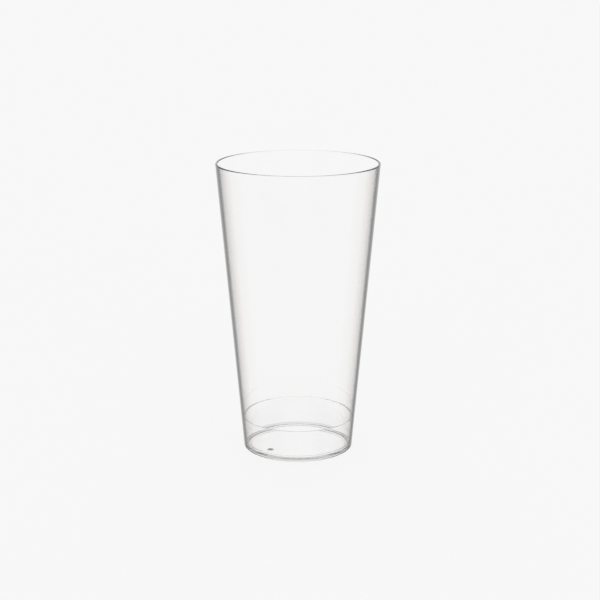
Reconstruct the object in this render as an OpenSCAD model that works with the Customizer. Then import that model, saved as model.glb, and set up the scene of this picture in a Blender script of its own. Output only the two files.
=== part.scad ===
// Stackable drinking tumbler, moulded in one piece from clear shatterproof plastic.
// The origin is the centre of the foot, on the table, with +Z up through the mouth.

/* [Side wall] */
// Outside diameter of the side wall, carried straight up to the height of the rim
rim_d = 88; // [80:1:100]
// Outside diameter of the side wall, carried straight down to the table
foot_d = 59.8; // [54:0.2:64]
// Height from the table to the top of the rim
glass_h = 158; // [130:1:190]
// Thickness of the side wall above the ledge, square to its face
wall_t = 1.3; // [1:0.1:2]

/* [Foot] */
// Radius of the heel, where the side wall turns under
heel_r = 0.5; // [0.3:0.1:1]
// Width of the flat ring that stands on the table
foot_ring_w = 3.5; // [2:0.5:6]
// Height of the hollow under the floor
recess_h = 0.6; // [0.4:0.1:2]
// Angle of the hollow's side above the table, in degrees
recess_side_a = 70; // [30:5:80]
// Thickness of the floor
floor_t = 1.3; // [1:0.1:3]

/* [Well below the ledge] */
// Radius between the floor and the inner wall
corner_r = 2.2; // [1:0.1:4]
// Draft of the inner wall below the ledge, in degrees
well_draft_a = 2.5; // [0.5:0.1:4]

/* [Stacking ledge] */
// Width of the ledge, from the upper wall in to the well's wall
ledge_w = 1.1; // [1:0.1:2]
// Fillet between the upper wall and the ledge
ledge_root_r = 0.3; // [0.2:0.1:0.4]
// Rounding of the ledge's free edge
ledge_edge_r = 0.2; // [0.2:0.1:0.4]
// Room round the foot of a nested glass that stands on the ledge
stack_gap = 0.26; // [0.1:0.02:0.6]

/* [Mould mark] */
// Diameter of the raised dot under the floor
mark_d = 3.6; // [2:0.2:5]
// Height of the dot
mark_h = 0.4; // [0.2:0.1:0.5]
// Distance from the hollow's mouth in to the dot's centre
mark_inset = 6.6; // [4:0.2:12]
// Direction of the dot from the axis, in degrees from +X
mark_turn_a = 220; // [0:5:355]

/* [Hidden] */
// Facets of a full turn of the glass and of its mould mark, and steps along a rounding
turn_fn = 256;
mark_fn = 64;
arc_steps = 8;

rim_r = rim_d / 2;
foot_r = foot_d / 2;
// The wall leans out by this angle, and by this much for each unit of height
lean = (rim_r - foot_r) / glass_h;
lean_a = atan(lean);
// The wall's thickness measured level
wall_level_t = wall_t / cos(lean_a);
floor_top_z = recess_h + floor_t;
// A nested glass's foot comes down until its own wall would touch with no gap left
ledge_z = (wall_level_t + stack_gap) / lean;

// Radius of the outer face, and of the inner face above the ledge, at a height
function outer_r(z) = foot_r + lean * z;
function upper_r(z) = outer_r(z) - wall_level_t;
// Radius of the inner face between the floor and the ledge
ledge_in_r = upper_r(ledge_z) - ledge_w;
function well_r(z) = ledge_in_r - (ledge_z - z) * tan(well_draft_a);

// Centres of the roundings, each touching the two faces that it joins
heel_c = [outer_r(heel_r) - heel_r / cos(lean_a), heel_r];
lip_r = wall_t / 2;
lip_c = [outer_r(glass_h - lip_r) - lip_r / cos(lean_a), glass_h - lip_r];
root_z = ledge_z + ledge_root_r;
root_c = [upper_r(root_z) - ledge_root_r / cos(lean_a), root_z];
edge_z = ledge_z - ledge_edge_r;
edge_c = [well_r(edge_z) + ledge_edge_r / cos(well_draft_a), edge_z];
corner_z = floor_top_z + corner_r;
corner_c = [well_r(corner_z) - corner_r / cos(well_draft_a), corner_z];

// Directions square to the faces, in degrees from level outward
down_a = -90;
up_a = 90;
out_a = -lean_a;
in_a = 180 - lean_a;
well_out_a = -well_draft_a;
well_in_a = 180 - well_draft_a;

// Each rounding is [centre, radius, first direction, last direction], in the order
// in which the section's outline passes them
heel = [heel_c, heel_r, down_a, out_a];
lip = [lip_c, lip_r, out_a, in_a];
ledge_root = [root_c, ledge_root_r, out_a, down_a];
ledge_edge = [edge_c, ledge_edge_r, up_a, well_in_a];
floor_corner = [corner_c, corner_r, well_out_a, down_a];

// Points along a rounding, from its first direction to its last
function arc(rounding) = [
    for (i = [0:arc_steps])
        let (a = rounding[2] + (rounding[3] - rounding[2]) * i / arc_steps)
            rounding[0] + rounding[1] * [cos(a), sin(a)]
];

// The hollow under the floor
recess_mouth_r = heel_c[0] - foot_ring_w;
recess_top_r = recess_mouth_r - recess_h / tan(recess_side_a);

// The dot is the cap of a ball that is sunk into the floor's underside
mark_ball_r = (pow(mark_d / 2, 2) + pow(mark_h, 2)) / (2 * mark_h);
mark_place_r = recess_mouth_r - mark_inset;
mark_sink = floor_t / 2;

// Half the glass's section, from the floor's underside round the rim to its top
module section() {
    polygon([
        [0, recess_h],
        [recess_top_r, recess_h],
        [recess_mouth_r, 0],
        each arc(heel),
        each arc(lip),
        each arc(ledge_root),
        each arc(ledge_edge),
        each arc(floor_corner),
        [0, floor_top_z],
    ]);
}

module mould_mark() {
    intersection() {
        translate([0, 0, recess_h - mark_h + mark_ball_r])
            sphere(r = mark_ball_r, $fn = mark_fn);
        translate([0, 0, recess_h - mark_h])
            cylinder(h = mark_h + mark_sink, r = mark_ball_r, $fn = mark_fn);
    }
}

module tumbler() {
    color([0.93, 0.96, 0.98, 0.35])
    union() {
        rotate_extrude($fn = turn_fn) section();
        rotate(mark_turn_a) translate([mark_place_r, 0, 0]) mould_mark();
    }
}

tumbler();
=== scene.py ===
import math

import bpy
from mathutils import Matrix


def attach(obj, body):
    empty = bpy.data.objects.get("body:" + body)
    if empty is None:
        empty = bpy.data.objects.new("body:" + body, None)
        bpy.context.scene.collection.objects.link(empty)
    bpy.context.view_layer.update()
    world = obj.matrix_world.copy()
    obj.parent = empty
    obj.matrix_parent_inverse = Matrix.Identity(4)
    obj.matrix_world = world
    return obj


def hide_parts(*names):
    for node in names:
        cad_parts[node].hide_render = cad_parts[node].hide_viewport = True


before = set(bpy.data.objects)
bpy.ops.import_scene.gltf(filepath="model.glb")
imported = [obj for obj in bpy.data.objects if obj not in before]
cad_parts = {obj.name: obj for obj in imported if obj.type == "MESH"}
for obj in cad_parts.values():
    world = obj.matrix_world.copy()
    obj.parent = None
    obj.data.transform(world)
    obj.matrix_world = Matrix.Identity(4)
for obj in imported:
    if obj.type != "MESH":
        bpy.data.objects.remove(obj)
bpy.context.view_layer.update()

# ---- Camera ----
# A long lens a little above the rim, looking down at the tumbler from the front.
# Place, pitch and lens give the photograph's rim, ledge and foot their ellipses.
camera_place = (0.0, -0.7632, 0.2826)
camera_pitch = 0.25646
photo_width = 600
centre_shift = 2
camera_data = bpy.data.cameras.new("camera")
camera_data.lens = 87.0
camera_data.sensor_width = 36.0
camera_data.shift_x = centre_shift / photo_width
camera = bpy.data.objects.new("camera", camera_data)
camera.location = camera_place
camera.rotation_euler = (math.pi / 2 - camera_pitch, 0, 0)
bpy.context.scene.collection.objects.link(camera)
bpy.context.scene.camera = camera

# ---- Tumbler ----
# The whole glass: side wall, rounded rim, stacking ledge, floor, foot ring, mould mark.
# It is one injection moulding of clear polycarbonate, so it is one closed mesh here, cut
# from a cylinder as on a lathe: taper, hollow, ledge, well, recess and roundings.
mm = 0.001
rim_r = 44.0 * mm
foot_r = 29.9 * mm
glass_h = 158.0 * mm
wall_t = 1.3 * mm
heel_r = 0.5 * mm
foot_ring_w = 3.5 * mm
recess_h = 0.6 * mm
recess_side_a = math.radians(70)
floor_t = 1.3 * mm
corner_r = 2.2 * mm
well_draft_a = math.radians(2.5)
ledge_w = 1.1 * mm
ledge_root_r = 0.3 * mm
ledge_edge_r = 0.2 * mm
stack_gap = 0.26 * mm
mark_d = 3.6 * mm
mark_h = 0.4 * mm
mark_inset = 6.6 * mm
mark_turn_a = math.radians(220)
turn_sides = 384
rounding_steps = 8
round_profile = 0.5
# How level a face is, how close an edge lies to its ring, and how near points merge
nearly_level = 0.9
height_play = 0.01 * mm
radius_play = 0.05 * mm
merge_gap = 0.002 * mm

lean = (rim_r - foot_r) / glass_h
lean_a = math.atan(lean)
wall_level_t = wall_t / math.cos(lean_a)
floor_top_z = recess_h + floor_t
ledge_z = (wall_level_t + stack_gap) / lean
ledge_outer_r = foot_r + lean * ledge_z - wall_level_t
ledge_inner_r = ledge_outer_r - ledge_w
well_floor_r = ledge_inner_r - (ledge_z - floor_top_z) * math.tan(well_draft_a)
heel_centre_r = foot_r + lean * heel_r - heel_r / math.cos(lean_a)
recess_mouth_r = heel_centre_r - foot_ring_w
recess_top_r = recess_mouth_r - recess_h / math.tan(recess_side_a)


def select_faces(obj, wanted):
    """Leaves only the faces that wanted(face) picks selected, in edit mode."""
    bpy.ops.mesh.select_mode(type="FACE")
    bpy.ops.mesh.select_all(action="DESELECT")
    bpy.ops.object.mode_set(mode="OBJECT")
    for face in obj.data.polygons:
        face.select = wanted(face)
    bpy.ops.object.mode_set(mode="EDIT")


def select_ring(obj, radius, height):
    """Leaves only the ring of edges at this radius and height selected."""
    bpy.ops.mesh.select_mode(type="EDGE")
    bpy.ops.mesh.select_all(action="DESELECT")
    bpy.ops.object.mode_set(mode="OBJECT")
    places = [v.co for v in obj.data.vertices]
    for edge in obj.data.edges:
        edge.select = all(
            abs(places[v].z - height) < height_play
            and abs(math.hypot(places[v].x, places[v].y) - radius) < radius_play
            for v in edge.vertices
        )
    bpy.ops.object.mode_set(mode="EDIT")


def round_ring(obj, radius, height, rounding_r, between_a):
    """Rounds a ring of edges whose two faces meet at the angle between_a."""
    select_ring(obj, radius, height)
    bpy.ops.mesh.bevel(
        offset_type="OFFSET",
        offset=rounding_r / math.tan(between_a / 2),
        segments=rounding_steps,
        profile=round_profile,
        clamp_overlap=False,
    )


bpy.ops.object.select_all(action="DESELECT")
bpy.ops.mesh.primitive_cylinder_add(
    vertices=turn_sides, radius=foot_r, depth=glass_h, location=(0, 0, glass_h / 2)
)
tumbler = bpy.context.object
tumbler.name = tumbler.data.name = "tumbler_glass"
bpy.ops.object.transform_apply(location=True, rotation=True, scale=True)
bpy.ops.object.mode_set(mode="EDIT")

# The taper, then the hollow down to the ledge, the ledge and the well under it
select_faces(tumbler, lambda face: face.normal.z > nearly_level)
bpy.ops.transform.resize(value=(rim_r / foot_r, rim_r / foot_r, 1))
bpy.ops.mesh.inset(thickness=wall_level_t)
bpy.ops.mesh.extrude_region_move(
    TRANSFORM_OT_translate={"value": (0, 0, ledge_z - glass_h)}
)
ledge_scale = ledge_outer_r / (rim_r - wall_level_t)
bpy.ops.transform.resize(value=(ledge_scale, ledge_scale, 1))
bpy.ops.mesh.inset(thickness=ledge_w)
bpy.ops.mesh.extrude_region_move(
    TRANSFORM_OT_translate={"value": (0, 0, floor_top_z - ledge_z)}
)
well_scale = well_floor_r / ledge_inner_r
bpy.ops.transform.resize(value=(well_scale, well_scale, 1))

# The recess under the floor
select_faces(tumbler, lambda face: face.normal.z < -nearly_level)
bpy.ops.mesh.inset(thickness=foot_r - recess_mouth_r)
bpy.ops.mesh.extrude_region_move(TRANSFORM_OT_translate={"value": (0, 0, recess_h)})
recess_scale = recess_top_r / recess_mouth_r
bpy.ops.transform.resize(value=(recess_scale, recess_scale, 1))

# The roundings, each from the angle inside the plastic or the hollow at its corner
square_a = math.pi / 2
round_ring(tumbler, foot_r, 0, heel_r, square_a + lean_a)
round_ring(tumbler, rim_r, glass_h, wall_t / 2, square_a - lean_a)
round_ring(tumbler, rim_r - wall_level_t, glass_h, wall_t / 2, square_a + lean_a)
round_ring(tumbler, ledge_outer_r, ledge_z, ledge_root_r, square_a + lean_a)
round_ring(tumbler, ledge_inner_r, ledge_z, ledge_edge_r, square_a + well_draft_a)
round_ring(tumbler, well_floor_r, floor_top_z, corner_r, square_a + well_draft_a)
bpy.ops.mesh.select_all(action="SELECT")
bpy.ops.mesh.remove_doubles(threshold=merge_gap)
bpy.ops.mesh.normals_make_consistent(inside=False)
bpy.ops.object.mode_set(mode="OBJECT")

# The mould mark: a low dot on the floor's underside, cut from a ball and joined on
mark_ball_r = ((mark_d / 2) ** 2 + mark_h**2) / (2 * mark_h)
mark_place_r = recess_mouth_r - mark_inset
mark_low_z = recess_h - mark_h
mark_top_z = recess_h + floor_t / 2
mark_x = mark_place_r * math.cos(mark_turn_a)
mark_y = mark_place_r * math.sin(mark_turn_a)
mark_sides = 64
cut_play = 0.0001 * mm
bpy.ops.object.select_all(action="DESELECT")
bpy.ops.mesh.primitive_uv_sphere_add(
    segments=mark_sides,
    ring_count=mark_sides,
    radius=mark_ball_r,
    location=(mark_x, mark_y, mark_low_z + mark_ball_r),
)
mark = bpy.context.object
mark.name = "mould_mark"
bpy.ops.object.transform_apply(location=True, rotation=True, scale=True)
bpy.ops.object.mode_set(mode="EDIT")
bpy.ops.mesh.select_all(action="SELECT")
bpy.ops.mesh.bisect(
    plane_co=(0, 0, mark_top_z),
    plane_no=(0, 0, 1),
    clear_outer=True,
    use_fill=True,
    threshold=cut_play,
)
bpy.ops.mesh.select_all(action="SELECT")
bpy.ops.mesh.normals_make_consistent(inside=False)
bpy.ops.object.mode_set(mode="OBJECT")


def apply_modifier(obj, kind, **settings):
    """Adds one modifier with its settings and applies it."""
    bpy.ops.object.select_all(action="DESELECT")
    obj.select_set(True)
    bpy.context.view_layer.objects.active = obj
    modifier = obj.modifiers.new(kind.lower(), kind)
    for name, value in settings.items():
        setattr(modifier, name, value)
    bpy.ops.object.modifier_apply(modifier=modifier.name)


joint_merge_gap = 0.001 * mm
smooth_a = math.radians(18)
apply_modifier(tumbler, "BOOLEAN", operation="UNION", object=mark, solver="EXACT")
bpy.data.objects.remove(mark)
bpy.ops.object.mode_set(mode="EDIT")
bpy.ops.mesh.select_all(action="SELECT")
bpy.ops.mesh.remove_doubles(threshold=joint_merge_gap)
bpy.ops.object.mode_set(mode="OBJECT")
bpy.ops.object.shade_smooth_by_angle(angle=smooth_a)
apply_modifier(
    tumbler, "WEIGHTED_NORMAL", mode="FACE_AREA", weight=100, keep_sharp=True
)


def linear(hex_colour):
    """Turns an sRGB hex colour into the linear colour that a socket takes."""
    parts = [int(hex_colour[i : i + 2], 16) / 255 for i in (0, 2, 4)]
    return [
        p / 12.92 if p <= 0.04045 else ((p + 0.055) / 1.055) ** 2.4 for p in parts
    ] + [1]


def add_node(tree, kind, links=(), inputs=(), **settings):
    """Adds one node with its settings, socket values and links."""
    node = tree.nodes.new(kind)
    for name, value in settings.items():
        setattr(node, name, value)
    for name, value in dict(inputs).items():
        node.inputs[name].default_value = value
    for name, socket in dict(links).items():
        tree.links.new(socket, node.inputs[name])
    return node


def set_ramp(node, stops):
    """Gives a colour ramp its stops, each a position and a colour."""
    ramp = node.color_ramp
    first, last = ramp.elements
    first.position, first.color = stops[0]
    last.position, last.color = stops[-1]
    for position, colour in stops[1:-1]:
        ramp.elements.new(position).color = colour


# Clear polycarbonate with the gloss of a polished steel mould, and almost no haze. It
# swallows a little light, so a wall seen through is white, and light that has run a long
# way inside the wall or the foot comes out grey: at the ledge, the corner and the heel.
plastic_ior = 1.585
depth_colour = "e8e7e6"
depth_density = 35.0
plastic = bpy.data.materials.new("clear_polycarbonate_moulded")
plastic.use_nodes = True
tree = plastic.node_tree
shader = tree.nodes["Principled BSDF"]
shader.inputs["Transmission Weight"].default_value = 1.0
shader.inputs["IOR"].default_value = plastic_ior
absorption = add_node(
    tree,
    "ShaderNodeVolumeAbsorption",
    inputs={"Color": linear(depth_colour), "Density": depth_density},
)
material_end = tree.nodes["Material Output"]
tree.links.new(absorption.outputs["Volume"], material_end.inputs["Volume"])
place = add_node(tree, "ShaderNodeTexCoord")
facing = add_node(tree, "ShaderNodeLayerWeight", inputs={"Blend": 0.5})
axes = add_node(
    tree, "ShaderNodeSeparateXYZ", links={"Vector": place.outputs["Object"]}
)
# The outer face is all that lies outside the middle of the wall's thickness
level = add_node(
    tree,
    "ShaderNodeVectorMath",
    operation="MULTIPLY",
    inputs={1: (1, 1, 0)},
    links={0: place.outputs["Object"]},
)
radius = add_node(
    tree, "ShaderNodeVectorMath", operation="LENGTH", links={0: level.outputs["Vector"]}
)
mid_wall = add_node(
    tree,
    "ShaderNodeMath",
    operation="MULTIPLY_ADD",
    inputs={1: lean, 2: foot_r - wall_level_t / 2},
    links={0: axes.outputs["Z"]},
)
outer_face = add_node(
    tree,
    "ShaderNodeMath",
    operation="GREATER_THAN",
    links={0: radius.outputs["Value"], 1: mid_wall.outputs["Value"]},
)
# The outer face's tint deepens to black as it turns edge on: painted shade that draws
# the clear wall's dark outline
painted_edge_shade = add_node(
    tree, "ShaderNodeValToRGB", links={"Fac": facing.outputs["Facing"]}
)
painted_edge_shade_tones = [
    (0.30, "ffffff"),
    (0.45, "f6f4f2"),
    (0.56, "d6d3d0"),
    (0.645, "a8a4a0"),
    (0.70, "4a4644"),
    (0.74, "000000"),
    (1.0, "000000"),
]
set_ramp(painted_edge_shade, [(stop, linear(tone)) for stop, tone in painted_edge_shade_tones])
# The outer face is tinted grey in a band just above the foot's bottom edge
foot_band_top = 2.0 * mm
foot_band_tones = [(0.15, "ffffff"), (0.3, "d3d3d3"), (0.8, "d3d3d3"), (1.0, "ffffff")]
foot_height = add_node(
    tree,
    "ShaderNodeMapRange",
    inputs={"From Min": 0.0, "From Max": foot_band_top},
    links={"Value": axes.outputs["Z"]},
)
foot_band_tint = add_node(
    tree, "ShaderNodeValToRGB", links={"Fac": foot_height.outputs["Result"]}
)
set_ramp(foot_band_tint, [(stop, linear(tone)) for stop, tone in foot_band_tones])
# Mix nodes take two colours at sockets 6 and 7, and two numbers at 2 and 3
clear = "ffffff"
outer_tone = add_node(
    tree,
    "ShaderNodeMix",
    data_type="RGBA",
    blend_type="MULTIPLY",
    inputs={0: 1.0},
    links={6: painted_edge_shade.outputs["Color"], 7: foot_band_tint.outputs["Color"]},
)
tint = add_node(
    tree,
    "ShaderNodeMix",
    data_type="RGBA",
    inputs={6: linear(clear)},
    links={0: outer_face.outputs["Value"], 7: outer_tone.outputs[2]},
)
# The mark is left rough where the mould's pin met the plastic, and its black is painted
# shade for the dark that its dome shows
mark_painted_shade_colour = "000000"
mark_roughness = 0.5
mark_away = add_node(
    tree,
    "ShaderNodeVectorMath",
    operation="DISTANCE",
    inputs={1: (mark_x, mark_y, mark_low_z)},
    links={0: place.outputs["Object"]},
)
on_mark = add_node(
    tree,
    "ShaderNodeMath",
    operation="LESS_THAN",
    inputs={1: math.hypot(mark_d / 2, mark_h)},
    links={0: mark_away.outputs["Value"]},
)
mark_painted_shade = add_node(
    tree,
    "ShaderNodeMix",
    data_type="RGBA",
    inputs={7: linear(mark_painted_shade_colour)},
    links={0: on_mark.outputs["Value"], 6: tint.outputs[2]},
)
tree.links.new(mark_painted_shade.outputs[2], shader.inputs["Base Color"])
# Use dulls the gloss in faint patches. The scratches themselves are too fine to show,
# so each patch stands for a group of them.
scuff_size = 6 * mm
scuff_from = 0.3
scuff_full = 0.8
scuffed_roughness = 0.03
scuffs = add_node(
    tree,
    "ShaderNodeTexNoise",
    inputs={"Scale": 1 / scuff_size, "Detail": 4.0, "Roughness": 0.6},
    links={"Vector": place.outputs["Object"]},
)
gloss = add_node(
    tree,
    "ShaderNodeMapRange",
    inputs={
        "From Min": scuff_from,
        "From Max": scuff_full,
        "To Min": 0.0,
        "To Max": scuffed_roughness,
    },
    links={"Value": scuffs.outputs["Fac"]},
)
mark_rough = add_node(
    tree,
    "ShaderNodeMix",
    data_type="FLOAT",
    inputs={3: mark_roughness},
    links={0: on_mark.outputs["Value"], 2: gloss.outputs["Result"]},
)
tree.links.new(mark_rough.outputs[0], shader.inputs["Roughness"])
tumbler.data.materials.clear()
tumbler.data.materials.append(plastic)

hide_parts("tumbler")
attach(tumbler, "root")

# ---- Tabletop ----
# A table covered with plain pale card, as wide as any camera sees, a hair below the foot.
# It shows mostly its own white and keeps about an eighth of its shading for the shadow.
table_r = 9.0
table_drop = 0.2 * mm
table_sides = 128
card_colour = "f4f4f4"
card_white = "ffffff"
shown_share = 0.88
bpy.ops.object.select_all(action="DESELECT")
bpy.ops.mesh.primitive_circle_add(
    vertices=table_sides,
    radius=table_r,
    fill_type="NGON",
    location=(0, 0, -table_drop),
)
table = bpy.context.object
table.name = "tabletop"
bpy.ops.object.transform_apply(location=True, rotation=True, scale=True)
card = bpy.data.materials.new("matt_pale_card")
card.use_nodes = True
tree = card.node_tree
shader = tree.nodes["Principled BSDF"]
shader.inputs["Base Color"].default_value = linear(card_colour)
shader.inputs["Roughness"].default_value = 1.0
shader.inputs["Specular IOR Level"].default_value = 0.0
glow = add_node(
    tree,
    "ShaderNodeEmission",
    inputs={"Color": linear(card_white), "Strength": 1.0},
)
ray = add_node(tree, "ShaderNodeLightPath")
seen = add_node(
    tree,
    "ShaderNodeMath",
    operation="ADD",
    links={0: ray.outputs["Is Camera Ray"], 1: ray.outputs["Is Glossy Ray"]},
)
seen_through = add_node(
    tree,
    "ShaderNodeMath",
    operation="ADD",
    use_clamp=True,
    links={0: seen.outputs["Value"], 1: ray.outputs["Is Transmission Ray"]},
)
share = add_node(
    tree,
    "ShaderNodeMath",
    operation="MULTIPLY",
    inputs={1: shown_share},
    links={0: seen_through.outputs["Value"]},
)
blend = add_node(
    tree,
    "ShaderNodeMixShader",
    links={
        0: share.outputs["Value"],
        1: shader.outputs["BSDF"],
        2: glow.outputs["Emission"],
    },
)
material_end = tree.nodes["Material Output"]
tree.links.new(blend.outputs["Shader"], material_end.inputs["Surface"])
table.data.materials.append(card)

# ---- Studio ----
# A white room lit from a large soft ceiling light, with a grey band between the light
# and the walls. The band is what draws the rim, the ledge and the foot as dark lines.
# The side walls are dark above their foot, which darkens both ends of those lines.
side_from = 0.3
side_full = 0.8
side_low = 0.05
side_high = 0.2
side_tone = 0.2
# The room's tones, each with its height above the horizon in degrees
room_tones = [(-90, 1.0), (36, 1.0), (46, 0.30), (62, 0.30), (72, 1.0), (90, 1.0)]
room = bpy.data.worlds.new("studio")
bpy.context.scene.world = room
room.use_nodes = True
tree = room.node_tree
place = add_node(tree, "ShaderNodeTexCoord")
axes = add_node(
    tree, "ShaderNodeSeparateXYZ", links={"Vector": place.outputs["Generated"]}
)
height = add_node(
    tree,
    "ShaderNodeMapRange",
    inputs={"From Min": -1.0, "From Max": 1.0},
    links={"Value": axes.outputs["Z"]},
)
tone = add_node(tree, "ShaderNodeValToRGB", links={"Fac": height.outputs["Result"]})
stops = [((1 + math.sin(math.radians(a))) / 2, [v, v, v, 1]) for a, v in room_tones]
set_ramp(tone, stops)
sideways = add_node(
    tree, "ShaderNodeMath", operation="ABSOLUTE", links={0: axes.outputs["X"]}
)
side_share = add_node(
    tree,
    "ShaderNodeMapRange",
    interpolation_type="SMOOTHSTEP",
    inputs={"From Min": side_from, "From Max": side_full},
    links={"Value": sideways.outputs["Value"]},
)
up_share = add_node(
    tree,
    "ShaderNodeMapRange",
    interpolation_type="SMOOTHSTEP",
    inputs={"From Min": side_low, "From Max": side_high},
    links={"Value": axes.outputs["Z"]},
)
side_part = add_node(
    tree,
    "ShaderNodeMath",
    operation="MULTIPLY",
    links={0: side_share.outputs["Result"], 1: up_share.outputs["Result"]},
)
walls = add_node(
    tree,
    "ShaderNodeMix",
    data_type="RGBA",
    inputs={7: (side_tone, side_tone, side_tone, 1)},
    links={0: side_part.outputs["Value"], 6: tone.outputs["Color"]},
)
background = tree.nodes["Background"]
background.inputs["Strength"].default_value = 1.0
tree.links.new(walls.outputs[2], background.inputs["Color"])

scene = bpy.context.scene
scene.view_settings.view_transform = "Standard"
# Light that enters the rim runs down the wall to the foot in some hundred reflections
light_bounces = 256
scene.cycles.max_bounces = light_bounces
scene.cycles.glossy_bounces = light_bounces
scene.cycles.transmission_bounces = light_bounces
